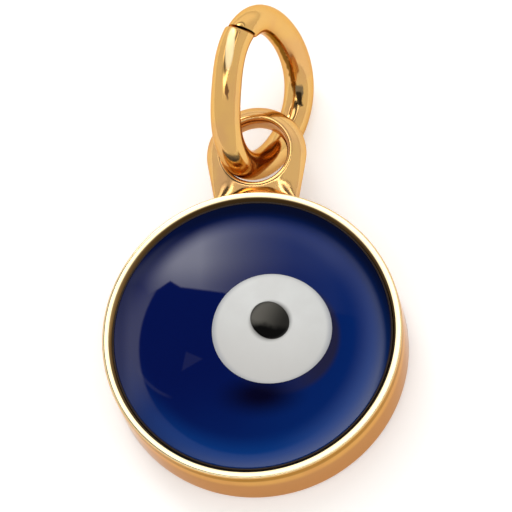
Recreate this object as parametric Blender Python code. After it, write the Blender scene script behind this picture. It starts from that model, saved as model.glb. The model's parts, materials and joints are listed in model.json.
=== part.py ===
"""Evil eye charm: a gold-plated cup with a blue glass eye, a soldered eyelet and an open jump ring.

Frame: metres. The origin is the centre of the cup's flat back, +Z is out of the eye's face and
+Y runs from the cup towards the eyelet and the jump ring.
"""

import math

import bmesh
import bpy
from mathutils import Matrix, Vector

MM = 0.001

# Cup
CUP_RADIUS = 6.0 * MM
CUP_HEIGHT = 2.8 * MM
CUP_WALL = 0.4 * MM
CUP_FLOOR = 0.5 * MM
BACK_ROUNDING = 0.3 * MM
RIM_ROUNDING = 0.13 * MM

# Glass eye
GAP = 0.04 * MM                # between pieces that touch on the real charm
GLUE_THICKNESS = 0.12 * MM
GLASS_EDGE_BELOW_RIM = 0.12 * MM
DOME_HEIGHT = 0.85 * MM        # apex above the glass edge
IRIS_CENTRE = (0.87 * MM, -0.02 * MM)
IRIS_RADIUS = 2.33 * MM
IRIS_DEPTH = 0.55 * MM
PUPIL_OFFSET = (-0.04 * MM, 0.3 * MM)
PUPIL_RADIUS = 0.77 * MM
PUPIL_DEPTH = 0.25 * MM
PUPIL_TURN = math.radians(130)
POCKET_CLEARANCE = 1.0 * MM    # how far a pocket's cutter stands above the dome

# Eyelet
EYELET_CENTRE = Vector((0.05 * MM, 8.02 * MM, 1.5 * MM))
EYELET_RADIUS = 2.02 * MM
LIP_RADIUS = 1.41 * MM
THROAT_RADIUS = 1.25 * MM
EYELET_HALF_DEPTH = 0.58 * MM
FOOT_TAPER = math.radians(10)  # the foot's sides lean in towards the cup
SECTION_FULLNESS = 2.3         # 2 is an ellipse, more is boxier
SOLDER_THICKNESS = 0.12 * MM
SOLDER_HALF_WIDTH = 1.75 * MM
SOLDER_HALF_HEIGHT = 0.7 * MM
SOLDER_END_TAPER = 0.35        # how much lower the solder is at its two ends

# Jump ring, bent a little out of round where it was opened and closed
WIRE_RADIUS = 0.6 * MM
RING_RADIUS = 2.73 * MM        # to the middle of the wire
RING_CENTRE = Vector((0.36 * MM, 10.29 * MM, 2.34 * MM))
RING_TWIST = math.radians(27.3)  # turn of the ring's plane out of the upright YZ plane
RING_LEAN = math.radians(36.7)   # how far the ring's top is raised above the cup's plane
RING_CUT_ANGLE = math.radians(70)
RING_CUT_GAP = 0.06 * MM
RING_CUT_SLANT = 0.42          # how far the cut runs along the wire, for its width
RING_END_OFFSET = 0.22 * MM    # how far the two cut ends would lie out of line
RING_END_REACH = (0.172, 0.15)  # share of the ring, from each end, that springs outwards
RING_END_SPRING = (0.46 * MM, 0.22 * MM)
RING_PINCH_REACH = 0.07        # share of the ring, from each end, that the pliers pinched back
RING_PINCH = (0.22 * MM, 0.0)
RING_TUCK = 0.05 * MM
RING_OVAL = (-0.046, math.radians(14))
RING_EGG = (0.044, math.radians(-43))

# Fineness
ROUND_STEPS = 96
EYELET_STEPS = 64
RING_STEPS = 72
WIRE_SIDES = 16
TANGENT_STEP = 0.001           # share of the ring over which its direction is measured


def clear_scene():
    for thing in list(bpy.data.objects):
        bpy.data.objects.remove(thing, do_unlink=True)


def make_material(name, colour, roughness, metallic=0.0):
    material = bpy.data.materials.new(name)
    material.use_nodes = True
    shader = material.node_tree.nodes["Principled BSDF"]
    shader.inputs["Base Color"].default_value = (*colour, 1.0)
    shader.inputs["Roughness"].default_value = roughness
    shader.inputs["Metallic"].default_value = metallic
    material.diffuse_color = (*colour, 1.0)
    return material


def finish_object(name, bm, material, smooth_angle=40):
    """A named object of the bmesh, shaded smooth apart from its sharp edges."""
    bmesh.ops.recalc_face_normals(bm, faces=bm.faces)
    mesh = bpy.data.meshes.new(name)
    bm.to_mesh(mesh)
    bm.free()
    mesh.shade_smooth()
    mesh.set_sharp_from_angle(angle=math.radians(smooth_angle))
    mesh.materials.append(material)
    thing = bpy.data.objects.new(name, mesh)
    bpy.context.scene.collection.objects.link(thing)
    return thing


def join_rings(bm, rings, closed):
    """Quads between each loop of vertices and the next."""
    pairs = list(zip(rings, rings[1:]))
    if closed:
        pairs.append((rings[-1], rings[0]))
    for first, second in pairs:
        count = len(first)
        for i in range(count):
            j = (i + 1) % count
            bm.faces.new((first[i], first[j], second[j], second[i]))


def arc(centre, radius, start, end, steps):
    """Points (radial, height) on an arc, angles in degrees."""
    points = []
    for i in range(steps + 1):
        angle = math.radians(start + (end - start) * i / steps)
        points.append((centre[0] + radius * math.cos(angle), centre[1] + radius * math.sin(angle)))
    return points


def turned(name, profile, material, outline=None, steps=ROUND_STEPS):
    """A solid turned about Z from a profile whose first and last points lie on the axis.

    outline(angle) stretches the radius at that angle, for shapes that aren't quite round.
    """
    bm = bmesh.new()
    bottom = bm.verts.new((0, 0, profile[0][1]))
    top = bm.verts.new((0, 0, profile[-1][1]))
    rings = []
    for radius, height in profile[1:-1]:
        ring = []
        for i in range(steps):
            angle = 2 * math.pi * i / steps
            reach = radius * (outline(angle) if outline else 1.0)
            ring.append(bm.verts.new((reach * math.cos(angle), reach * math.sin(angle), height)))
        rings.append(ring)
    join_rings(bm, rings, closed=False)
    for i in range(steps):
        j = (i + 1) % steps
        bm.faces.new((bottom, rings[0][j], rings[0][i]))
        bm.faces.new((top, rings[-1][i], rings[-1][j]))
    return finish_object(name, bm, material)


def make_cup(material):
    inner = CUP_RADIUS - CUP_WALL
    profile = [(0, 0)]
    profile += arc((CUP_RADIUS - BACK_ROUNDING, BACK_ROUNDING), BACK_ROUNDING, -90, 0, 5)
    profile += arc((CUP_RADIUS - RIM_ROUNDING, CUP_HEIGHT - RIM_ROUNDING), RIM_ROUNDING, 0, 90, 4)
    profile += arc((inner + RIM_ROUNDING, CUP_HEIGHT - RIM_ROUNDING), RIM_ROUNDING, 90, 180, 4)
    profile += [(inner, CUP_FLOOR), (0, CUP_FLOOR)]
    return turned("bezel_cup", profile, material)


def make_glue(material):
    bottom = CUP_FLOOR + GAP
    radius = CUP_RADIUS - CUP_WALL - 2 * GAP
    top = bottom + GLUE_THICKNESS
    profile = [(0, bottom), (radius, bottom), (radius, top), (0, top)]
    return turned("glue_bed", profile, material)


GLASS_RADIUS = CUP_RADIUS - CUP_WALL - GAP
GLASS_EDGE_Z = CUP_HEIGHT - GLASS_EDGE_BELOW_RIM
GLASS_BASE_Z = CUP_FLOOR + GLUE_THICKNESS + 2 * GAP
DOME_RADIUS = (GLASS_RADIUS ** 2 + DOME_HEIGHT ** 2) / (2 * DOME_HEIGHT)
DOME_CENTRE = Vector((0, 0, GLASS_EDGE_Z + DOME_HEIGHT - DOME_RADIUS))


def make_glass(material):
    half_angle = math.degrees(math.asin(GLASS_RADIUS / DOME_RADIUS))
    profile = [(0, GLASS_BASE_Z), (GLASS_RADIUS, GLASS_BASE_Z)]
    profile += arc((0, DOME_CENTRE.z), DOME_RADIUS, 90 - half_angle, 90, 14)
    return turned("blue_glass", profile, material)


def on_dome(x, y):
    """The frame that stands on the dome at (x, y): Z is the dome's normal there."""
    normal = Vector((x, y, math.sqrt(DOME_RADIUS ** 2 - x * x - y * y))).normalized()
    turn = Vector((0, 0, 1)).rotation_difference(normal).to_matrix().to_4x4()
    return Matrix.Translation(DOME_CENTRE) @ turn


def make_dot(name, material, place, radius, depth, outline, grow=0.0, above=0.0):
    """A lens sunk into the dome: its top is the dome's own surface and its underside is a bowl."""
    reach = radius + grow
    half_angle = math.degrees(math.asin(reach / DOME_RADIUS))
    edge_z = DOME_RADIUS * math.cos(math.radians(half_angle))
    sink = depth + grow
    bowl_steps, top_steps = 7, 6
    profile = [(0, edge_z - sink)]
    for i in range(1, bowl_steps + 1):
        angle = math.pi / 2 * i / bowl_steps
        profile.append((reach * math.sin(angle), edge_z - sink * math.cos(angle)))
    if above:
        profile += [(reach, edge_z + above), (0, edge_z + above)]
    else:
        profile += arc((0, 0), DOME_RADIUS, 90 - half_angle, 90, top_steps)[1:]
    dot = turned(name, profile, material, outline, steps=64)
    dot.matrix_world = place
    return dot


def cut(thing, cutter):
    """Takes the cutter's shape out of thing."""
    cutter.hide_render = True
    cutter.display_type = "WIRE"
    modifier = thing.modifiers.new("cut_" + cutter.name, "BOOLEAN")
    modifier.operation = "DIFFERENCE"
    modifier.object = cutter


def iris_outline(angle):
    """A hand-made white dot: nearly round, a touch wider than tall."""
    return 1 + 0.022 * math.cos(2 * angle) + 0.008 * math.cos(3 * angle + 0.6)


def pupil_outline(angle):
    """An egg, longer along its own X."""
    return 1 + 0.075 * math.cos(2 * angle) + 0.03 * math.cos(angle)


def make_eye(iris_material, pupil_material, glass):
    iris_place = on_dome(*IRIS_CENTRE)
    pupil_place = on_dome(IRIS_CENTRE[0] + PUPIL_OFFSET[0], IRIS_CENTRE[1] + PUPIL_OFFSET[1])
    pupil_place = pupil_place @ Matrix.Rotation(PUPIL_TURN, 4, "Z")
    iris = make_dot("white_iris", iris_material, iris_place, IRIS_RADIUS, IRIS_DEPTH, iris_outline)
    make_dot("black_pupil", pupil_material, pupil_place, PUPIL_RADIUS, PUPIL_DEPTH, pupil_outline)
    iris_cutter = make_dot("iris_pocket", iris_material, iris_place, IRIS_RADIUS, IRIS_DEPTH,
                           iris_outline, grow=GAP, above=POCKET_CLEARANCE)
    pupil_cutter = make_dot("pupil_pocket", pupil_material, pupil_place, PUPIL_RADIUS, PUPIL_DEPTH,
                            pupil_outline, grow=GAP, above=POCKET_CLEARANCE)
    cut(glass, iris_cutter)
    cut(iris, pupil_cutter)


def eyelet_reach(angle):
    """How far the eyelet's outer surface lies from its bore's axis; angle 0 is +Y, straight up."""
    across, up = math.sin(abs(angle)), math.cos(angle)
    if abs(angle) < math.pi / 2 + FOOT_TAPER:
        return EYELET_RADIUS
    # Each side is a straight line, tangent to the round top.
    side = EYELET_RADIUS / (across * math.cos(FOOT_TAPER) - up * math.sin(FOOT_TAPER))
    # The foot ends on the solder, which follows the cup's wall.
    wall = CUP_RADIUS + SOLDER_THICKNESS + 2 * GAP
    past = EYELET_CENTRE.y * across
    foot = -EYELET_CENTRE.y * up - math.sqrt(wall ** 2 - past ** 2) if past < wall else math.inf
    return min(side, foot)


def make_eyelet(material):
    """A ring with a crowned section, swept round the bore out to the round top, sides and foot."""
    bm = bmesh.new()
    rings = []
    outer_steps, bore_steps = 12, 6
    for i in range(EYELET_STEPS):
        angle = 2 * math.pi * i / EYELET_STEPS - math.pi
        reach = eyelet_reach(angle)
        section = []
        for k in range(outer_steps + 1):
            turn = math.pi * (k / outer_steps - 0.5)
            out = abs(math.cos(turn)) ** (2 / SECTION_FULLNESS)
            side = math.copysign(abs(math.sin(turn)) ** (2 / SECTION_FULLNESS), turn)
            section.append((LIP_RADIUS + (reach - LIP_RADIUS) * out, EYELET_HALF_DEPTH * side))
        for k in range(1, bore_steps):
            turn = math.pi * (0.5 - k / bore_steps)
            section.append((LIP_RADIUS - (LIP_RADIUS - THROAT_RADIUS) * math.cos(turn),
                            EYELET_HALF_DEPTH * math.sin(turn)))
        direction = Vector((math.sin(angle), math.cos(angle), 0))
        rings.append([bm.verts.new(r * direction + Vector((0, 0, z))) for r, z in section])
    join_rings(bm, rings, closed=True)
    eyelet = finish_object("eyelet", bm, material)
    eyelet.location = EYELET_CENTRE
    return eyelet


def make_solder(material):
    """A saddle of solder: a rounded pad that follows the cup's wall."""
    bm = bmesh.new()
    inner = CUP_RADIUS + GAP
    columns, rows = 16, 8
    loops = []
    for radius in (inner, inner + SOLDER_THICKNESS):
        grid = []
        for i in range(columns + 1):
            across = 2 * i / columns - 1
            half_height = SOLDER_HALF_HEIGHT * (1 - SOLDER_END_TAPER * across ** 4)
            angle = math.asin(across * SOLDER_HALF_WIDTH / radius)
            column = []
            for k in range(rows + 1):
                height = EYELET_CENTRE.z + half_height * (2 * k / rows - 1)
                column.append(bm.verts.new((radius * math.sin(angle), radius * math.cos(angle), height)))
            grid.append(column)
        loops.append(grid)
    for grid in loops:
        for i in range(columns):
            for k in range(rows):
                bm.faces.new((grid[i][k], grid[i + 1][k], grid[i + 1][k + 1], grid[i][k + 1]))
    border = [(i, 0) for i in range(columns)] + [(columns, k) for k in range(rows)]
    border += [(i, rows) for i in range(columns, 0, -1)] + [(0, k) for k in range(rows, 0, -1)]
    for (i, k), (m, n) in zip(border, border[1:] + border[:1]):
        bm.faces.new((loops[0][i][k], loops[0][m][n], loops[1][m][n], loops[1][i][k]))
    return finish_object("solder_seam", bm, material)


def ring_frame():
    """The ring's plane: towards the front, along its height, and its normal."""
    lean = Matrix.Rotation(RING_LEAN, 3, "X")
    front = lean @ Vector((-math.sin(RING_TWIST), 0, math.cos(RING_TWIST)))
    height = lean @ Vector((0, 1, 0))
    return front, height, front.cross(height)


def near_end(from_end, reach):
    """1 at a cut end, easing to 0 where the end's influence stops."""
    return max(0.0, 1 - from_end / reach) ** 2


def ring_point(share):
    """The wire's middle, with share from 0 at one cut end to 1 at the other."""
    angle = RING_CUT_ANGLE + 2 * math.pi * share
    oval, oval_at = RING_OVAL
    egg, egg_at = RING_EGG
    bulge = oval * math.cos(2 * (angle - oval_at)) + egg * math.cos(3 * (angle - egg_at))
    radius = RING_RADIUS * (1 + bulge)
    ends = zip((share, 1 - share), RING_END_REACH, RING_END_SPRING, RING_PINCH)
    for from_end, reach, spring, pinch in ends:
        radius += spring * near_end(from_end, reach) - pinch * near_end(from_end, RING_PINCH_REACH)
    tuck = RING_TUCK * (near_end(share, RING_PINCH_REACH) - near_end(1 - share, RING_PINCH_REACH))
    front, height, normal = ring_frame()
    flat = radius * (math.cos(angle) * front + math.sin(angle) * height)
    return RING_CENTRE + flat + (RING_END_OFFSET * (share - 0.5) + tuck) * normal


def make_jump_ring(material):
    """Round wire, its two cut ends on one slant."""
    bm = bmesh.new()
    normal = ring_frame()[2]
    cut_share = RING_CUT_GAP / (2 * math.pi * RING_RADIUS)
    loops = []
    for i in range(RING_STEPS + 1):
        share = cut_share / 2 + (1 - cut_share) * i / RING_STEPS
        along = (ring_point(share + TANGENT_STEP) - ring_point(share - TANGENT_STEP)).normalized()
        out = along.cross(normal).normalized()
        side = along.cross(out)
        middle = ring_point(share) - EYELET_CENTRE
        slanted = out - RING_CUT_SLANT * near_end(min(share, 1 - share), RING_PINCH_REACH) * along
        loop = []
        for k in range(WIRE_SIDES):
            turn = 2 * math.pi * k / WIRE_SIDES
            around = math.cos(turn) * slanted + math.sin(turn) * side
            loop.append(bm.verts.new(middle + WIRE_RADIUS * around))
        loops.append(loop)
    join_rings(bm, loops, closed=False)
    bm.faces.new(loops[0])
    bm.faces.new(loops[-1])
    ring = finish_object("jump_ring", bm, material)
    pivot = bpy.data.objects.new("jump_ring_pivot", None)
    pivot.location = EYELET_CENTRE
    bpy.context.scene.collection.objects.link(pivot)
    ring.parent = pivot
    return ring


def build():
    clear_scene()
    gold = make_material("gold_plate", (0.83, 0.56, 0.24), 0.12, 1.0)
    solder = make_material("plated_solder", (0.78, 0.52, 0.22), 0.2, 1.0)
    blue = make_material("cobalt_glass", (0.004, 0.012, 0.13), 0.05)
    white = make_material("white_glass", (0.78, 0.77, 0.74), 0.08)
    black = make_material("black_glass", (0.006, 0.006, 0.007), 0.05)
    glue = make_material("clear_glue", (0.75, 0.72, 0.62), 0.3)
    make_cup(gold)
    make_glue(glue)
    glass = make_glass(blue)
    make_eye(white, black, glass)
    make_eyelet(gold)
    make_solder(solder)
    make_jump_ring(gold)


build()
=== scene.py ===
"""The looks of the evil eye charm: finer pieces, glass and gold, a pale floor and a soft white studio."""

import json
import math

import bmesh
import bpy
from mathutils import Matrix, Vector


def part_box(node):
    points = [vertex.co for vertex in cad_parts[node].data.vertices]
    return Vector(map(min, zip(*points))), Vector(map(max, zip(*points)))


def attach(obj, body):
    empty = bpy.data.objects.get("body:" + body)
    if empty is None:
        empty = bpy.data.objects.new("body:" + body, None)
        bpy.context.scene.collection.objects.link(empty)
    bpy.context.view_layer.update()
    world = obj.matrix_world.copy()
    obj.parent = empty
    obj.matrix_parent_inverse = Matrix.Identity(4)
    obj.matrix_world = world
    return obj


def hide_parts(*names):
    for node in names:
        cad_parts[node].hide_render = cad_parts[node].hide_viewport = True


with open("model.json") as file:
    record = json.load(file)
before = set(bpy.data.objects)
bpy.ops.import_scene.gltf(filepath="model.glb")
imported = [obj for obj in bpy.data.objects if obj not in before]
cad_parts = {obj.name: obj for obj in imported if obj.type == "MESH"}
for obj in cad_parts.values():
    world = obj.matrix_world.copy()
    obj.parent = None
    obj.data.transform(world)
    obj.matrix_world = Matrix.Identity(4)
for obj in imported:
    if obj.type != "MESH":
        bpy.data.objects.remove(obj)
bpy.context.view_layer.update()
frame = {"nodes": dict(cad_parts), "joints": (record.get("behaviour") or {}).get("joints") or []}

MM = 0.001
PENDANT = "pendant"
RING = "jump_ring"

# Cup, from the frame
CUP_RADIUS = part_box("bezel_cup")[1].x
CUP_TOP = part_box("bezel_cup")[1].z
CUP_WALL = 0.4 * MM
CUP_INNER = CUP_RADIUS - CUP_WALL
TOUCHING_GAP = 0.04 * MM       # what touching pieces of the CAD keep between them
CUP_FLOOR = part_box("glue_bed")[0].z - TOUCHING_GAP
BACK_ROUNDING = 0.3 * MM
LAND_RADIUS = 2.6 * MM         # the rim's polished land is very nearly flat
LAND_ANGLES = (86.5, 90.6)
LAND_INSET = 0.17 * MM
RIM_ROUNDING = 0.08 * MM
RIM_INNER_ROUNDING = 0.03 * MM
RIM_SLOPE_DROP = 0.16 * MM     # how deep the slope inside the land goes

# Glass eye
GLASS_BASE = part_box("blue_glass")[0].z
GLASS_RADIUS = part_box("blue_glass")[1].x
DOME_SET = 0.12 * MM           # how far below the rim the dome springs from the cup
DOME_RISE = 0.85 * MM
DOME_TOP = CUP_TOP - DOME_SET + DOME_RISE
DOME_RADIUS = (GLASS_RADIUS ** 2 + DOME_RISE ** 2) / (2 * DOME_RISE)
DOME_CENTRE = Vector((0, 0, DOME_TOP - DOME_RADIUS))
CAP_RADIUS = 5.51 * MM
GLASS_SIDE = CAP_RADIUS + 0.03 * MM
GLASS_CHAMFER = 0.15 * MM
GLASS_EDGE_DROP = 0.04 * MM
IRIS_CENTRE = (0.87 * MM, -0.02 * MM)
IRIS_RADIUS = 2.33 * MM
IRIS_DEPTH = 0.55 * MM
PUPIL_CENTRE = (0.83 * MM, 0.28 * MM)
PUPIL_RADIUS = 0.77 * MM
PUPIL_DEPTH = 0.25 * MM
PUPIL_TURN = math.radians(130)
POCKET_GAP = 0.01 * MM

# Eyelet, whose bore's middle is on the joint
EYELET_CENTRE = Vector(frame["joints"][0]["pos_m"])
EYELET_RADIUS = 2.02 * MM
LIP_RADIUS = 1.41 * MM
THROAT_RADIUS = 1.25 * MM
EYELET_HALF_DEPTH = 0.58 * MM
FOOT_TAPER = math.radians(10)
SECTION_FULLNESS = 1.5
LIP_LAND = 0.05 * MM
NECK_BLUNTNESS = 0.75          # below 1, the neck keeps more of its thickness down to the foot
FOOT_GAP = 0.02 * MM

# Solder, and the dark seam of painted shade between glass and cup
SOLDER_HALF_WIDTH = 1.8 * MM
SOLDER_HALF_HEIGHT = 0.8 * MM
SOLDER_SINK = 0.05 * MM        # how far its edge is sunk into the cup's wall
SOLDER_SWELL = 0.2 * MM
SHADE_SEAM_HEIGHTS = (CUP_TOP - 0.6 * MM, CUP_TOP - 0.14 * MM)
SHADE_SEAM_SAG = 0.02 * MM

# Jump ring
WIRE_RADIUS = 0.6 * MM
RING_RADIUS = 2.73 * MM
RING_CENTRE = Vector((0.36 * MM, 10.29 * MM, 2.34 * MM))
RING_TWIST = math.radians(27.3)
RING_LEAN = math.radians(36.7)
RING_CUT_ANGLE = math.radians(70)
RING_CUT_GAP = 0.01 * MM
RING_CUT_SLANT = 0.42          # how far the cut runs along the wire, for its width
RING_END_OFFSET = 0.22 * MM    # how far the two cut ends would lie out of line
RING_END_REACH = (0.172, 0.15)     # share of the ring, from each end, that springs outwards
RING_END_SPRING = (0.46 * MM, 0.22 * MM)
RING_PINCH_REACH = 0.07        # share of the ring, from each end, that the pliers have pinched back
RING_PINCH = (0.22 * MM, 0.0)
RING_TUCK = 0.05 * MM
RING_OVAL = (-0.046, math.radians(14))     # how oval the ring is bent, and which way round
RING_EGG = (0.044, math.radians(-43))
END_ROUNDING = 0.03 * MM

# Camera: it looks down on the charm's face from a little below and to the right
CAMERA_AZIMUTH = math.radians(7.23)
CAMERA_ELEVATION = math.radians(18.44)
CAMERA_ROLL = math.radians(-0.14)
CAMERA_DISTANCE = 250 * MM
FRAME_WIDTH = 20.487 * MM      # what the picture spans at the charm
AIM_RIGHT = -0.1845 * MM
AIM_UP = 4.0 * MM

# Floor: the charm lies on the cup's lower back edge and on the ring's lowest point
REST_Y = -(CUP_RADIUS - BACK_ROUNDING)
RING_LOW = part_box("jump_ring")[0].z
RING_LOW_Y = 10.0 * MM
FLOOR_SOFTNESS = 1.0 * MM
FLOOR_REACH = 3.0

# Studio: how dim its opening is, and how far its panels make up for the glass's weak reflections
OPENING = 0.1
GLASS_GAIN = 2.35
TENT = 0.94
TENT_BACK = 0.3

# Fineness
ROUND_STEPS = 192
BAND_STEPS = 28
EYELET_STEPS = 160
RING_STEPS = 260
WIRE_SIDES = 36


# ---------------------------------------------------------------- node sums

class Field:
    """A number that varies over a surface or a sky: a node socket that sums can be done with."""

    def __init__(self, tree, socket):
        self.tree = tree
        self.socket = socket

    def sum(self, operation, *others):
        node = self.tree.nodes.new("ShaderNodeMath")
        node.operation = operation
        for slot, value in enumerate((self,) + others):
            if isinstance(value, Field):
                self.tree.links.new(value.socket, node.inputs[slot])
            else:
                node.inputs[slot].default_value = value
        return Field(self.tree, node.outputs[0])

    def __add__(self, other):
        return self.sum("ADD", other)

    def __sub__(self, other):
        return self.sum("SUBTRACT", other)

    def __mul__(self, other):
        return self.sum("MULTIPLY", other)

    def __truediv__(self, other):
        return self.sum("DIVIDE", other)

    __radd__ = __add__
    __rmul__ = __mul__

    def __rsub__(self, other):
        return self * -1 + other

    def power(self, other):
        return self.sum("POWER", other)

    def least(self, other):
        return self.sum("MINIMUM", other)

    def most(self, other):
        return self.sum("MAXIMUM", other)

    def step(self, start, end):
        """0 before start, 1 after end, smooth between; start may be above end."""
        node = self.tree.nodes.new("ShaderNodeMapRange")
        node.interpolation_type = "SMOOTHSTEP"
        self.tree.links.new(self.socket, node.inputs["Value"])
        low, high = min(start, end), max(start, end)
        node.inputs["From Min"].default_value = low
        node.inputs["From Max"].default_value = high
        node.inputs["To Min"].default_value = 0.0 if start < end else 1.0
        node.inputs["To Max"].default_value = 1.0 if start < end else 0.0
        return Field(self.tree, node.outputs["Result"])


def reach(x, y, centre=(0, 0)):
    """The distance of (x, y) from centre."""
    return ((x - centre[0]) * (x - centre[0]) + (y - centre[1]) * (y - centre[1])).power(0.5)


def lobe(x, y, bearing, width):
    """1 towards the bearing, falling to 0 at width to each side of it, both in degrees."""
    length = reach(x, y).most(1e-4)
    along = x * math.cos(math.radians(bearing)) + y * math.sin(math.radians(bearing))
    return (along / length).step(math.cos(math.radians(width)), 1.0)


def split(tree, vector):
    """A vector's x, y and z."""
    node = tree.nodes.new("ShaderNodeSeparateXYZ")
    tree.links.new(vector, node.inputs[0])
    return [Field(tree, node.outputs[i]) for i in range(3)]


def mix(tree, share, first, second):
    """Two colours, given or sockets, mixed by a field."""
    node = tree.nodes.new("ShaderNodeMix")
    node.data_type = "RGBA"
    tree.links.new(share.socket, node.inputs["Factor"])
    for name, value in (("A", first), ("B", second)):
        socket = [s for s in node.inputs if s.name == name and s.type == "RGBA"][0]
        if isinstance(value, tuple):
            socket.default_value = (*value, 1.0)
        else:
            tree.links.new(value, socket)
    return [s for s in node.outputs if s.type == "RGBA"][0]


class Material:
    """A Principled material with short names for what its surface needs."""

    def __init__(self, name, metallic=0.0, roughness=0.1, **constants):
        self.data = bpy.data.materials.new(name)
        self.data.use_nodes = True
        self.tree = self.data.node_tree
        self.shader = self.tree.nodes["Principled BSDF"]
        self.shader.inputs["Metallic"].default_value = metallic
        self.shader.inputs["Roughness"].default_value = roughness
        for socket, value in constants.items():
            self.shader.inputs[socket.replace("_", " ")].default_value = value
        place = self.tree.nodes.new("ShaderNodeTexCoord").outputs["Object"]
        scale = self.tree.nodes.new("ShaderNodeVectorMath")
        scale.operation = "SCALE"
        scale.inputs["Scale"].default_value = 1 / MM
        self.tree.links.new(place, scale.inputs[0])
        self.place = scale.outputs[0]

    def noise(self, scale, detail, stretch=(1, 1, 1)):
        """Noise from 0 to 1, with scale in features per millimetre."""
        vector = self.place
        if stretch != (1, 1, 1):
            node = self.tree.nodes.new("ShaderNodeVectorMath")
            node.operation = "MULTIPLY"
            node.inputs[1].default_value = stretch
            self.tree.links.new(vector, node.inputs[0])
            vector = node.outputs[0]
        node = self.tree.nodes.new("ShaderNodeTexNoise")
        node.inputs["Scale"].default_value = scale
        node.inputs["Detail"].default_value = detail
        self.tree.links.new(vector, node.inputs["Vector"])
        return Field(self.tree, node.outputs["Fac"])

    def mix(self, share, first, second):
        return mix(self.tree, share, first, second)

    def colour(self, socket):
        self.tree.links.new(socket, self.shader.inputs["Base Color"])

    def roughness(self, field):
        self.tree.links.new(field.socket, self.shader.inputs["Roughness"])

    def bump(self, height, depth):
        node = self.tree.nodes.new("ShaderNodeBump")
        node.inputs["Strength"].default_value = 1.0
        node.inputs["Distance"].default_value = depth
        self.tree.links.new(height.socket, node.inputs["Height"])
        self.tree.links.new(node.outputs[0], self.shader.inputs["Normal"])


# ---------------------------------------------------------------- materials

RIM = CUP_TOP / MM
IRIS_SPOT = tuple(c / MM for c in IRIS_CENTRE)
PUPIL_SPOT = tuple(c / MM for c in PUPIL_CENTRE)


def below_rim(x, y, z):
    """The cup's wall, painted darker and rosier as a painted reflection of the shaded floor beside it."""
    return z.step(RIM - 0.75, RIM - 1.2)


def under_lip(x, y, z):
    """A darker band just under the cup's rim."""
    return z.step(RIM - 0.03, RIM - 0.12) * z.step(RIM - 0.55, RIM - 0.4)


def rim_land_painted_highlight(x, y, z):
    """The top of the rim, painted paler as a painted highlight, so that it shines whiter."""
    return z.step(RIM - 0.035, RIM - 0.01)


def rim_slope(x, y, z):
    """The slope inside the rim's land, painted dark as shade, darkest towards the eyelet."""
    inside = reach(x, y).step(5.83, 5.7) * z.step(RIM - 0.5, RIM - 0.3)
    return inside * (0.5 + 0.5 * lobe(x, y, 90, 100))


def bore_painted_shade(x, y, z):
    """The eyelet's bore, painted darker and rosier as the shade inside the hole."""
    throat = THROAT_RADIUS / MM
    return reach(x, y, (0.05, EYELET_CENTRE.y / MM)).step(throat + 0.14, throat + 0.1)


def ring_inner_painted_reflection(x, y, z):
    """A painted reflection: a crinkled brown line along the inside of the jump ring's right-hand side."""
    off = x + z * 0.222 - 1.66
    return (off * off).step(0.02, 0.006) * reach(y, z, (10.5, 3.4)).step(2.95, 2.75) * z.step(4.2, 3.6)


def olive_painted_reflection(x, y, z):
    """The olive end of a painted dark reflection low on the jump ring's right-hand side."""
    across = x.step(1.5, 1.57) * x.step(1.88, 1.81)
    return across * y.step(10.75, 10.85) * y.step(11.25, 11.15) * z.step(0.1, 0.25)


def dark_painted_reflection(x, y, z):
    """The dark end of that painted reflection."""
    across = x.step(1.5, 1.57) * x.step(1.81, 1.74)
    return across * y.step(10.4, 10.5) * y.step(11.0, 10.92) * z.step(0.1, 0.25)


def brown_streak_painted_reflection(x, y, z):
    """A short brown painted reflection half-way down the jump ring's left-hand side."""
    return reach(x * 4.5, y, (-3.15, 9.5)).step(0.4, 0.2) * z.step(4.0, 4.4)


def pale_streak_painted_highlight(x, y, z):
    """A pale painted highlight down the top of the jump ring's left-hand side."""
    return reach((x - y * 0.12) * 5, y, (-9.24, 11.15)).step(1.05, 0.6) * z.step(4.0, 4.5)


# Painted light on the gold: a painted reflection on the cup's wall, a darker band under the rim, a painted
# highlight on the land, painted shade on the slope and in the bore, painted reflections on the ring.
CUP_PAINTED_LIGHT_AND_SHADE = [((0.56, 0.30, 0.15), below_rim), ((0.40, 0.215, 0.06), under_lip),
            ((0.80, 0.66, 0.40), rim_land_painted_highlight), ((0.04, 0.022, 0.008), rim_slope)]
EYELET_PAINTED_SHADE = [((0.55, 0.30, 0.15), bore_painted_shade)]
RING_PAINTED_REFLECTIONS = [((0.22, 0.10, 0.015), ring_inner_painted_reflection), ((0.20, 0.14, 0.07), olive_painted_reflection),
             ((0.03, 0.018, 0.007), dark_painted_reflection), ((0.20, 0.09, 0.03), brown_streak_painted_reflection)]


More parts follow.
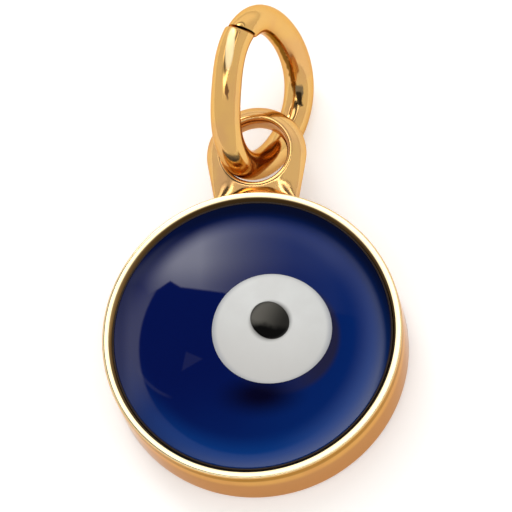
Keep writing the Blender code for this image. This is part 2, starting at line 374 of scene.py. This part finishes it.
def gold(name, colour, rose, roughness, waves, grain, painted_tones=(), ragged=0.0, painted_highlight_area=None):
    """Bright gold plate: a little rosier in places, faintly rippled, finely scratched.

    The list of tones pairs colours with the functions above that say where they are painted, from x, y
    and z in mm: painted shade, painted reflections and highlights, and a darker band under the rim.
    ragged is how far in mm their edges stray. The last argument says where a pale highlight is painted
    on, with the plate made rougher there.
    """
    material = Material(name, metallic=1.0, Specular_Tint=(0.88, 0.66, 0.45, 1.0))
    body = material.mix(material.noise(0.7, 2).step(0.42, 0.68), colour, rose)
    x, y, z = split(material.tree, material.place)
    stray = (material.noise(5.0, 4) - 0.5) * (2 * ragged)
    # Painted shade, reflections and highlights laid over the plate's own colour.
    for tone, where in painted_tones:
        body = material.mix(where(x + stray, y - stray, z), body, tone)
    scratches = material.noise(6.0, 4, stretch=(1, 0.35, 1)).step(0.5, 0.75)
    finish = scratches * 0.05 + roughness
    # A painted pale highlight, with the plate made rougher under it.
    if painted_highlight_area:
        highlight_share = painted_highlight_area(x, y, z)
        body = material.mix(highlight_share, body, (0.95, 0.78, 0.46))
        finish = finish + highlight_share * 0.4
    material.colour(body)
    material.roughness(finish)
    ripple = material.noise(0.9, 1) * waves + material.noise(14.0, 3) * grain
    material.bump(ripple, 0.01 * MM)
    return material.data


def cobalt_glass():
    """Deep blue glass with painted light and shade: painted lighter to the lower right, with a painted
    bluer glow along its lower edge, and painted dark in the rim's shade.

    The white dot's shadow is painted below it, and a dim halo is painted beside it for its buried side.
    """
    material = Material("cobalt_glass_painted_light", roughness=0.03, IOR=1.3)
    x, y, _ = split(material.tree, material.place)
    # Painted light: the glass is painted lighter away from its upper left.
    lit = (reach(x, y, (-3.0, 0.5)) + material.noise(0.35, 2) * 1.2 - 0.6).step(2.0, 9.0)
    body = material.mix(lit, (0.0003, 0.0042, 0.062), (0.0004, 0.017, 0.125))
    # Painted glow: brighter blue along the lower edge.
    glow = reach(x, y).step(4.2, 5.2) * lobe(x, y, -70, 110)
    body = material.mix(glow, body, (0.002, 0.034, 0.185))
    # Painted shadow of the white dot, below it.
    dark = reach(x * 0.5, y, (0.2, -2.72)).step(1.05, 0.1)
    body = material.mix(dark, body, (0.0003, 0.0003, 0.012))
    # A dim grey halo painted beside the white dot, standing for its buried side seen through the glass.
    halo = reach(x, y, (1.2, -0.35)).step(2.48, 2.2) * (0.1 + 0.9 * lobe(x - IRIS_SPOT[0], y, -15, 78))
    body = material.mix(halo, body, (0.013, 0.013, 0.042))
    # Painted shade where the rim shades the glass.
    shaded = reach(x, y, (0.0, -0.3)).step(4.75, 5.6) * (0.25 + 0.75 * lobe(x, y, 60, 120))
    body = material.mix(shaded, body, (0.0006, 0.0025, 0.018))
    material.colour(body)
    specks = material.noise(2.2, 2).step(0.72, 0.8)
    material.roughness(specks * 0.05 + 0.025)
    return material.data


def white_glass():
    """Milk-white glass, greyer at its thin edge and where the pupil has bled into it."""
    material = Material("white_glass_finish", roughness=0.2, IOR=1.4)
    x, y, _ = split(material.tree, material.place)
    cloud = material.noise(1.1, 3).step(0.3, 0.7)
    body = material.mix(cloud, (0.59, 0.60, 0.59), (0.56, 0.565, 0.555))
    low = (y * -1 - x * 0.25).step(-1.6, 2.0)
    body = material.mix(low, body, (0.50, 0.495, 0.48))
    rim = reach(x, y, IRIS_SPOT).step(2.12, 2.4)
    body = material.mix(rim, body, (0.32, 0.33, 0.36))
    bleed = reach(x, y, PUPIL_SPOT).step(0.93, 0.7)
    body = material.mix(bleed, body, (0.17, 0.168, 0.164))
    material.colour(body)
    return material.data


def black_glass():
    """Black glass, with a grey painted reflection over its upper left."""
    material = Material("black_glass_painted_reflection", roughness=0.1, IOR=1.3, Specular_IOR_Level=0.03)
    x, y, _ = split(material.tree, material.place)
    # Painted reflection: grey over the upper left of the pupil.
    upper = (y + x * 0.2 + material.noise(2.5, 2) * 0.25).step(0.2, 0.56)
    left = (x * -0.6 + y * 0.3).step(-0.8, 0.1) * 0.85 + 0.15
    body = material.mix(upper * left, (0.002, 0.002, 0.002), (0.105, 0.1, 0.088))
    edge = reach(x, y, PUPIL_SPOT).step(0.7, 0.86)
    material.colour(material.mix(edge, body, (0.045, 0.045, 0.043)))
    return material.data


def glue(name, colour, roughness):
    """Set glue, a little cloudy; made dark, it is also the seam of painted shade between glass and cup."""
    material = Material(name, roughness=roughness, Specular_IOR_Level=0.15)
    material.colour(material.mix(material.noise(3.0, 3), colour, tuple(0.6 * c for c in colour)))
    return material.data


# ---------------------------------------------------------------- meshes

def finish_piece(name, bm, material, body, replaced=(), smooth_angle=35):
    """The bmesh as a piece that rides on a body and stands for the CAD nodes named."""
    bmesh.ops.recalc_face_normals(bm, faces=bm.faces)
    mesh = bpy.data.meshes.new(name)
    bm.to_mesh(mesh)
    bm.free()
    mesh.shade_smooth()
    mesh.set_sharp_from_angle(angle=math.radians(smooth_angle))
    mesh.materials.append(material)
    piece = bpy.data.objects.new(name, mesh)
    bpy.context.scene.collection.objects.link(piece)
    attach(piece, body)
    if replaced:
        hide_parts(*replaced)


def skin(bm, loops, closed=False):
    """Quads between each loop of points and the next; returns the loops' vertices."""
    made = [[bm.verts.new(point) for point in loop] for loop in loops]
    pairs = list(zip(made, made[1:]))
    if closed:
        pairs.append((made[-1], made[0]))
    for first, second in pairs:
        for i in range(len(first)):
            j = i - 1
            bm.faces.new((first[j], first[i], second[i], second[j]))
    return made


def fan(bm, loop, middle):
    """A cap of triangles from a loop to a middle point."""
    tip = bm.verts.new(middle)
    for i in range(len(loop)):
        bm.faces.new((loop[i - 1], loop[i], tip))


def capped(loops, start, end):
    """A closed solid: a point, the loops, and a point."""
    bm = bmesh.new()
    made = skin(bm, loops)
    fan(bm, made[0], start)
    fan(bm, made[-1], end)
    return bm


def angles(count):
    """Evenly spaced angles, once round."""
    return [2 * math.pi * i / count for i in range(count)]


def circle(radius, z):
    return [Vector((radius * math.cos(a), radius * math.sin(a), z)) for a in angles(ROUND_STEPS)]


def arc(centre, radius, start, end, steps):
    """Points (radial, height) on an arc, angles in degrees."""
    turns = [math.radians(start + (end - start) * i / steps) for i in range(steps + 1)]
    return [(centre[0] + radius * math.cos(t), centre[1] + radius * math.sin(t)) for t in turns]


def on_sphere(point):
    """The point moved onto the dome along the dome's radius."""
    return DOME_CENTRE + (point - DOME_CENTRE).normalized() * DOME_RADIUS


def on_dome(x, y):
    """The frame about the dome's centre whose Z comes out of the dome at (x, y)."""
    normal = Vector((x, y, math.sqrt(DOME_RADIUS ** 2 - x * x - y * y))).normalized()
    turn = Vector((0, 0, 1)).rotation_difference(normal).to_matrix().to_4x4()
    return Matrix.Translation(DOME_CENTRE) @ turn


def iris_outline(angle):
    """A hand-made white dot: nearly round, a touch wider than tall."""
    return IRIS_RADIUS * (1 + 0.022 * math.cos(2 * angle) + 0.008 * math.cos(3 * angle + 0.6))


def pupil_outline(angle):
    """An egg, turned by PUPIL_TURN."""
    turned = angle - PUPIL_TURN
    return PUPIL_RADIUS * (1 + 0.075 * math.cos(2 * turned) + 0.03 * math.cos(turned))


def bowl(place, outline, depth, grow, steps=12):
    """Loops of a lens's buried side, from near its lowest point up to its edge on the dome."""
    loops = []
    for k in range(1, steps + 1):
        turn = math.pi / 2 * k / steps
        loop = []
        for a in angles(ROUND_STEPS):
            edge = outline(a) + grow
            top = math.sqrt(DOME_RADIUS ** 2 - edge ** 2)
            out = edge * math.sin(turn)
            down = (depth + grow) * math.cos(turn)
            loop.append(place @ Vector((out * math.cos(a), out * math.sin(a), top - down)))
        loops.append(loop)
    return loops


def bowl_bottom(place, outline, depth, grow):
    """The lowest point of a lens's buried side."""
    top = math.sqrt(DOME_RADIUS ** 2 - outline(0) ** 2)
    return place @ Vector((0, 0, top - depth - grow))


def dome_band(outer, inner, steps):
    """Loops over the dome between two outlines, without the outlines themselves."""
    loops = []
    for k in range(1, steps):
        share = k / steps
        loops.append([on_sphere(p.lerp(q, share)) for p, q in zip(outer, inner)])
    return loops


def make_cup(material):
    """The turned cup, its rim a narrow polished land with a slope down to the glass inside it."""
    crest = CUP_INNER + LAND_INSET
    profile = arc((CUP_RADIUS - BACK_ROUNDING, BACK_ROUNDING), BACK_ROUNDING, -90, 0, 10)
    edge = arc((crest, CUP_TOP - LAND_RADIUS), LAND_RADIUS, *LAND_ANGLES, 6)
    drop = RIM_ROUNDING * math.sin(math.radians(LAND_ANGLES[0]))
    profile += arc((CUP_RADIUS - RIM_ROUNDING, edge[0][1] - drop), RIM_ROUNDING, 0, 78, 10) + edge
    profile += arc((crest, CUP_TOP - RIM_INNER_ROUNDING), RIM_INNER_ROUNDING, 100, 140, 4)
    foot = CUP_TOP - RIM_SLOPE_DROP
    profile += [(CUP_INNER - 0.01 * MM, foot), (CUP_INNER, foot - 0.04 * MM)]
    profile += [(CUP_INNER, CUP_FLOOR + 0.1 * MM), (CUP_INNER - 0.1 * MM, CUP_FLOOR)]
    loops = [circle(r, z) for r, z in profile]
    bm = capped(loops, (0, 0, 0), (0, 0, CUP_FLOOR))
    finish_piece("gold_cup", bm, material, PENDANT, ["bezel_cup"])


def make_glass(material):
    """The blue dome, with a pocket for the white dot."""
    place = on_dome(*IRIS_CENTRE)
    pocket = bowl(place, iris_outline, IRIS_DEPTH, POCKET_GAP)
    rim = DOME_CENTRE.z + math.sqrt(DOME_RADIUS ** 2 - CAP_RADIUS ** 2)
    edge = circle(CAP_RADIUS, rim)
    loops = [circle(GLASS_SIDE - GLASS_CHAMFER, GLASS_BASE), circle(GLASS_SIDE, GLASS_BASE + GLASS_CHAMFER)]
    loops += [circle(GLASS_SIDE, rim - GLASS_EDGE_DROP), edge]
    loops += dome_band(edge, pocket[-1], BAND_STEPS) + pocket[::-1]
    bm = capped(loops, (0, 0, GLASS_BASE), bowl_bottom(place, iris_outline, IRIS_DEPTH, POCKET_GAP))
    finish_piece("cobalt_dome", bm, material, PENDANT, ["blue_glass"], 20)


def make_iris(material):
    """The white dot, a lens sunk into the dome, with a pocket for the pupil."""
    iris, pupil = on_dome(*IRIS_CENTRE), on_dome(*PUPIL_CENTRE)
    under = bowl(iris, iris_outline, IRIS_DEPTH, 0)
    pocket = bowl(pupil, pupil_outline, PUPIL_DEPTH, POCKET_GAP)
    loops = under + dome_band(under[-1], pocket[-1], 14) + pocket[::-1]
    bm = capped(loops, bowl_bottom(iris, iris_outline, IRIS_DEPTH, 0),
                bowl_bottom(pupil, pupil_outline, PUPIL_DEPTH, POCKET_GAP))
    finish_piece("milk_glass_iris", bm, material, PENDANT, ["white_iris"])


def make_pupil(material):
    """The black dot, a small lens sunk into the white one."""
    pupil = on_dome(*PUPIL_CENTRE)
    under = bowl(pupil, pupil_outline, PUPIL_DEPTH, 0)
    middle = on_sphere(pupil @ Vector((0, 0, DOME_RADIUS)))
    over = dome_band(under[-1], [middle] * ROUND_STEPS, 8)
    bm = capped(under + over, bowl_bottom(pupil, pupil_outline, PUPIL_DEPTH, 0), middle)
    finish_piece("black_glass_pupil", bm, material, PENDANT, ["black_pupil"])


def make_shade_seam(material):
    """A thin dark seam between the glass and the cup, put there as painted shade for the gap between them.
    """
    glass, wall = GLASS_SIDE + 0.005 * MM, CUP_INNER + 0.005 * MM
    low, high = SHADE_SEAM_HEIGHTS
    sag = (0.5 * (glass + wall), high - SHADE_SEAM_SAG)
    section = [(wall, low), (wall, high), sag, (glass, high), (glass, low)]
    bm = bmesh.new()
    skin(bm, [circle(r, z) for r, z in section], closed=True)
    finish_piece("shade_seam", bm, material, PENDANT)


def eyelet_reach(angle):
    """How far the eyelet's outer surface lies from its bore's axis; angle 0 is straight up."""
    across, up = math.sin(abs(angle)), math.cos(angle)
    if abs(angle) < math.pi / 2 + FOOT_TAPER:
        return EYELET_RADIUS
    side = EYELET_RADIUS / (across * math.cos(FOOT_TAPER) - up * math.sin(FOOT_TAPER))
    wall = CUP_RADIUS + FOOT_GAP
    past = EYELET_CENTRE.y * across
    foot = -EYELET_CENTRE.y * up - math.sqrt(wall ** 2 - past ** 2) if past < wall else math.inf
    return min(side, foot)


def make_eyelet(material):
    """A ring whose outside slopes back from a crisp lip, drawn down to its foot on the cup."""
    loops = []
    outer_steps, bore_steps = 26, 14
    for i in range(EYELET_STEPS):
        angle = 2 * math.pi * i / EYELET_STEPS - math.pi
        far = eyelet_reach(angle)
        direction = Vector((math.sin(angle), math.cos(angle), 0))
        section = []
        for k in range(outer_steps + 1):
            turn = math.pi * (k / outer_steps - 0.5)
            out = abs(math.cos(turn)) ** (2 / SECTION_FULLNESS)
            side = math.copysign(abs(math.sin(turn)) ** (2 / SECTION_FULLNESS), turn)
            away = LIP_RADIUS + LIP_LAND + (EYELET_RADIUS - LIP_RADIUS - LIP_LAND) * out
            neck = (far - EYELET_RADIUS) * min(1.0, out / NECK_BLUNTNESS) ** 3
            section.append((away + neck, EYELET_HALF_DEPTH * side))
        for k in range(bore_steps + 1):
            turn = math.pi * (0.5 - k / bore_steps)
            section.append((LIP_RADIUS - (LIP_RADIUS - THROAT_RADIUS) * math.cos(turn),
                            EYELET_HALF_DEPTH * math.sin(turn)))
        loops.append([EYELET_CENTRE + r * direction + Vector((0, 0, z)) for r, z in section])
    bm = bmesh.new()
    skin(bm, loops, closed=True)
    finish_piece("gold_eyelet", bm, material, PENDANT, ["eyelet"])


def make_solder(material):
    """A pillow of solder on the cup's wall, which the eyelet's foot sinks into."""
    columns, rows = 48, 24
    bm = bmesh.new()
    sheets = []
    for outside in (True, False):
        sheet = []
        for i in range(columns + 1):
            u = 2 * i / columns - 1
            column = []
            for k in range(rows + 1):
                v = 2 * k / rows - 1
                fill = max(0.0, 1 - abs(u) ** 6) * max(0.0, 1 - abs(v) ** 2.5)
                swell = SOLDER_SWELL * fill ** 0.6 if outside else -0.02 * MM
                radius = CUP_RADIUS - SOLDER_SINK + swell
                angle = u * SOLDER_HALF_WIDTH / CUP_RADIUS
                height = EYELET_CENTRE.z + v * SOLDER_HALF_HEIGHT
                column.append(bm.verts.new((radius * math.sin(angle), radius * math.cos(angle), height)))
            sheet.append(column)
        sheets.append(sheet)
        for i in range(columns):
            for k in range(rows):
                bm.faces.new((sheet[i][k], sheet[i + 1][k], sheet[i + 1][k + 1], sheet[i][k + 1]))
    border = [(i, 0) for i in range(columns)] + [(columns, k) for k in range(rows)]
    border += [(i, rows) for i in range(columns, 0, -1)] + [(0, k) for k in range(rows, 0, -1)]
    outside, inside = sheets
    for (i, k), (m, n) in zip(border, border[1:] + border[:1]):
        bm.faces.new((outside[i][k], outside[m][n], inside[m][n], inside[i][k]))
    finish_piece("solder_fillet", bm, material, PENDANT, ["solder_seam"], 60)


def ring_frame():
    """The ring's plane: towards the front, along its height, and its normal."""
    lean = Matrix.Rotation(RING_LEAN, 3, "X")
    front = lean @ Vector((-math.sin(RING_TWIST), 0, math.cos(RING_TWIST)))
    height = lean @ Vector((0, 1, 0))
    return front, height, front.cross(height)


def near_end(from_end, reached):
    """1 at a cut end, easing to 0 where the end's influence stops."""
    return max(0.0, 1 - from_end / reached) ** 2


def ring_point(share):
    """The wire's middle, with share from 0 at one cut end to 1 at the other."""
    angle = RING_CUT_ANGLE + 2 * math.pi * share
    oval, oval_at = RING_OVAL
    egg, egg_at = RING_EGG
    shape = oval * math.cos(2 * (angle - oval_at)) + egg * math.cos(3 * (angle - egg_at))
    radius = RING_RADIUS * (1 + shape)
    ends = zip((share, 1 - share), RING_END_REACH, RING_END_SPRING, RING_PINCH)
    for from_end, reached, spring, pinch in ends:
        radius += spring * near_end(from_end, reached) - pinch * near_end(from_end, RING_PINCH_REACH)
    tuck = RING_TUCK * (near_end(share, RING_PINCH_REACH) - near_end(1 - share, RING_PINCH_REACH))
    front, height, normal = ring_frame()
    flat = radius * (math.cos(angle) * front + math.sin(angle) * height)
    return RING_CENTRE + flat + (RING_END_OFFSET * (share - 0.5) + tuck) * normal


def wire_loop(share, shrink=0.0, back=0.0):
    """A loop round the wire, drawn in by shrink and moved by back along it."""
    step = 0.001
    along = (ring_point(share + step) - ring_point(share - step)).normalized()
    out = along.cross(ring_frame()[2]).normalized()
    side = along.cross(out)
    middle = ring_point(share) + along * back
    radius = WIRE_RADIUS - shrink
    slant = RING_CUT_SLANT * near_end(min(share, 1 - share), RING_PINCH_REACH)
    return [middle + radius * (math.cos(a) * (out - slant * along) + math.sin(a) * side)
            for a in angles(WIRE_SIDES)]


def make_jump_ring(material):
    """Round wire bent to a ring, with a filed edge at each cut end."""
    cut_share = RING_CUT_GAP / (2 * math.pi * RING_RADIUS)
    first, last = cut_share / 2, 1 - cut_share / 2
    loops = []
    for turn in (90, 60, 30):
        t = math.radians(turn)
        loops.append(wire_loop(first, END_ROUNDING * math.sin(t), END_ROUNDING * (1 - math.cos(t))))
    inset = 2 * END_ROUNDING / (2 * math.pi * RING_RADIUS)
    for i in range(RING_STEPS + 1):
        loops.append(wire_loop(first + inset + (last - first - 2 * inset) * i / RING_STEPS))
    for turn in (30, 60, 90):
        t = math.radians(turn)
        loops.append(wire_loop(last, END_ROUNDING * math.sin(t), -END_ROUNDING * (1 - math.cos(t))))
    bm = capped(loops, ring_point(first), ring_point(last))
    finish_piece("gold_jump_ring", bm, material, RING, ["jump_ring"], 50)


# ---------------------------------------------------------------- floor, light and camera

def make_floor():
    """A pale sheet that dips under the charm, from the cup's lower edge to the ring's lowest point."""
    slope = RING_LOW / (RING_LOW_Y - REST_Y)
    bm = bmesh.new()
    columns = [-FLOOR_REACH, -0.1, -0.03, 0.03, 0.1, FLOOR_REACH]
    near = [REST_Y + i * 0.5 * MM for i in range(-12, 60)]
    rows = [-FLOOR_REACH, -0.1, -0.03] + near + [0.06, 0.1, FLOOR_REACH]
    grid = []
    for y in rows:
        past = y - REST_Y
        start = 0.5 * (past + math.hypot(past, FLOOR_SOFTNESS))
        beyond = y - (RING_LOW_Y + 3 * MM)
        stop = 0.5 * (beyond + math.hypot(beyond, FLOOR_SOFTNESS))
        z = slope * (start - stop + 0.25 * FLOOR_SOFTNESS)
        grid.append([bm.verts.new((x, y, z)) for x in columns])
    for first, second in zip(grid, grid[1:]):
        for i in range(len(columns) - 1):
            bm.faces.new((first[i], first[i + 1], second[i + 1], second[i]))
    mesh = bpy.data.meshes.new("floor")
    bm.to_mesh(mesh)
    bm.free()
    mesh.shade_smooth()
    material = Material("pale_floor", roughness=0.8, Specular_IOR_Level=0.1, Emission_Strength=0.2)
    material.colour(material.mix(material.noise(0.05, 2), (0.96, 0.96, 0.955), (0.945, 0.945, 0.94)))
    mesh.materials.append(material.data)
    floor = bpy.data.objects.new("floor", mesh)
    bpy.context.scene.collection.objects.link(floor)


def view_direction():
    """From the charm towards the camera."""
    return Vector((math.sin(CAMERA_AZIMUTH) * math.cos(CAMERA_ELEVATION), -math.sin(CAMERA_ELEVATION),
                   math.cos(CAMERA_AZIMUTH) * math.cos(CAMERA_ELEVATION)))


def studio_brightness(tree, direction):
    """How bright the studio is in each direction.

    A face whose normal is halfway between a direction and the camera's shows that direction.
    x and y say where on the dome that is, in millimetres, so the panels of the white tent are
    laid out as the eye's glass shows them: a dark opening for the camera, with the window above
    and to the left of it, the tent's wall all round it and a low lamp at the lower right.
    """
    halfway = tree.nodes.new("ShaderNodeVectorMath")
    halfway.operation = "ADD"
    halfway.inputs[1].default_value = view_direction()
    tree.links.new(direction, halfway.inputs[0])
    unit = tree.nodes.new("ShaderNodeVectorMath")
    unit.operation = "NORMALIZE"
    tree.links.new(halfway.outputs[0], unit.inputs[0])
    x, y, _ = [part * (DOME_RADIUS / MM) for part in split(tree, unit.outputs[0])]
    x, y = x * 0.965, y * 0.966 + 0.11      # the camera is near enough to spread the reflections
    out = reach(x, y)

    # The window, brightest near its left end, with a lower edge like a low roof
    eaves = (x * -0.22 + 1.41).most(x * -0.738 - 0.044).least(x * 0.61 + 4.31)
    leftmost = x.step(-4.0, -4.6)
    above = (y - eaves).step(0.0, 0.12) * (1 - leftmost) + y.step(0.4, 3.4) * leftmost
    fade = ((x + 2.0).most(0.0) * (1 / -1.65)).sum("EXPONENT").most(0.1) * x.step(4.6, 3.0)
    window = 4.3 * fade * (0.5 + 0.5 * y.step(1.8, 3.3)) * above * (0.45 + 0.55 * x.step(-4.6, -2.8))

    # The tent's wall round the opening: a sharp edge on the left, a soft one on the right
    right = lobe(x, y, 15, 110)
    sharp = reach(x, y, (0, -0.37)).step(4.44, 4.56)
    wall = (0.3 + 0.85 * lobe(x, y, 176, 42)) * sharp * (1 - right)
    soft_wall = 1.1 * right * out.step(3.9, 5.4)
    lamp = 4.2 * lobe(x, y, -60, 75) * out.step(4.8, 6.2)

    # Two gaps in the tent that the light comes through
    corner = (x * 0.973 - y * 0.232 + 2.376).least(x * -0.452 - y * 0.892 - 1.724)
    corner = 0.25 * corner.least(x * -0.447 + y * 0.894 + 0.09).step(0.0, 0.06)
    curved = reach(x, y, (-2.21, -0.06))
    slit = 0.3 * curved.step(2.5, 2.56) * curved.step(2.68, 2.62) * lobe(x + 2.21, y + 0.06, -133, 26)
    inside = window.most(wall) + soft_wall + lamp + corner + slit
    edge = reach(x, y, (-0.24, -0.3)).step(5.64, 5.38) * (1 - 0.4 * x.step(-4.8, -5.3))
    inside = inside * edge * (1 - out.step(4.3, 5.2) * lobe(x, y, 98, 85))

    # A panel that the eye's white dot hides, which whatever faces straight up shows
    panel = 2.4 * reach(x, y, (0.7, 0.05)).step(2.15, 1.8)

    # The rest of the studio: an even tent, a little brighter at the back
    _, dy, dz = split(tree, direction)
    back = dy.step(0.35, 0.85) * dz.step(0.02, 0.3)
    tent = TENT + TENT_BACK * back
    beyond = out.step(5.72, 6.2)
    near = (inside * GLASS_GAIN + panel).most(OPENING)
    return near * (1 - beyond) + tent * beyond


def make_studio():
    """The world: the studio lights and reflects, and is plain white where the camera sees it."""
    world = bpy.data.worlds.new("studio")
    bpy.context.scene.world = world
    world.use_nodes = True
    tree = world.node_tree
    direction = tree.nodes.new("ShaderNodeTexCoord").outputs["Generated"]
    seen = Field(tree, tree.nodes.new("ShaderNodeLightPath").outputs["Is Camera Ray"])
    brightness = studio_brightness(tree, direction)
    strength = brightness * (1 - seen) + seen
    background = tree.nodes["Background"]
    background.inputs["Color"].default_value = (1.0, 0.99, 0.975, 1.0)
    tree.links.new(strength.socket, background.inputs["Strength"])


def make_camera():
    """The camera, aimed so that the charm fills the picture from top to bottom."""
    towards = view_direction()
    right = Vector((0, 1, 0)).cross(towards).normalized()
    up = towards.cross(right)
    roll = Matrix.Rotation(CAMERA_ROLL, 3, towards)
    right, up = roll @ right, roll @ up
    place = towards * CAMERA_DISTANCE
    back = (place - AIM_RIGHT * right - AIM_UP * up).normalized()
    across = up.cross(back).normalized()
    turn = Matrix((across, back.cross(across), back)).transposed().to_4x4()
    lens = bpy.data.cameras.new("camera")
    lens.sensor_width = 36
    lens.lens = lens.sensor_width * CAMERA_DISTANCE / FRAME_WIDTH
    lens.clip_start = 0.01
    lens.clip_end = 10
    camera = bpy.data.objects.new("camera", lens)
    camera.matrix_world = Matrix.Translation(place) @ turn
    bpy.context.scene.collection.objects.link(camera)
    bpy.context.scene.camera = camera


# ---------------------------------------------------------------- build

make_camera()
make_studio()
make_floor()

plate = gold("gold_plate_painted_light", (0.74, 0.455, 0.17), (0.70, 0.41, 0.17), roughness=0.09,
             waves=0.4, grain=0.04, painted_tones=CUP_PAINTED_LIGHT_AND_SHADE)
lug = gold("eyelet_gold_painted_shade", (0.70, 0.42, 0.15), (0.62, 0.35, 0.15), roughness=0.11,
           waves=1.2, grain=0.1, painted_tones=EYELET_PAINTED_SHADE, ragged=0.05)
wire = gold("ring_wire_painted_reflections", (0.71, 0.42, 0.135), (0.67, 0.38, 0.14), roughness=0.13,
            waves=0.6, grain=0.05, painted_tones=RING_PAINTED_REFLECTIONS, ragged=0.11, painted_highlight_area=pale_streak_painted_highlight)
solder = gold("solder_finish", (0.72, 0.44, 0.165), (0.66, 0.37, 0.15), roughness=0.16,
              waves=1.5, grain=0.2)
make_cup(plate)
make_eyelet(lug)
make_solder(solder)
make_jump_ring(wire)
make_glass(cobalt_glass())
make_iris(white_glass())
make_pupil(black_glass())
# A dark seam as painted shade in the gap between the glass and the cup.
make_shade_seam(glue("painted_shade_seam", (0.05, 0.035, 0.028), 0.35))
frame["nodes"]["glue_bed"].data.materials.clear()
frame["nodes"]["glue_bed"].data.materials.append(glue("glue_bed_finish", (0.7, 0.68, 0.6), 0.4))

bpy.context.scene.view_settings.view_transform = "Standard"
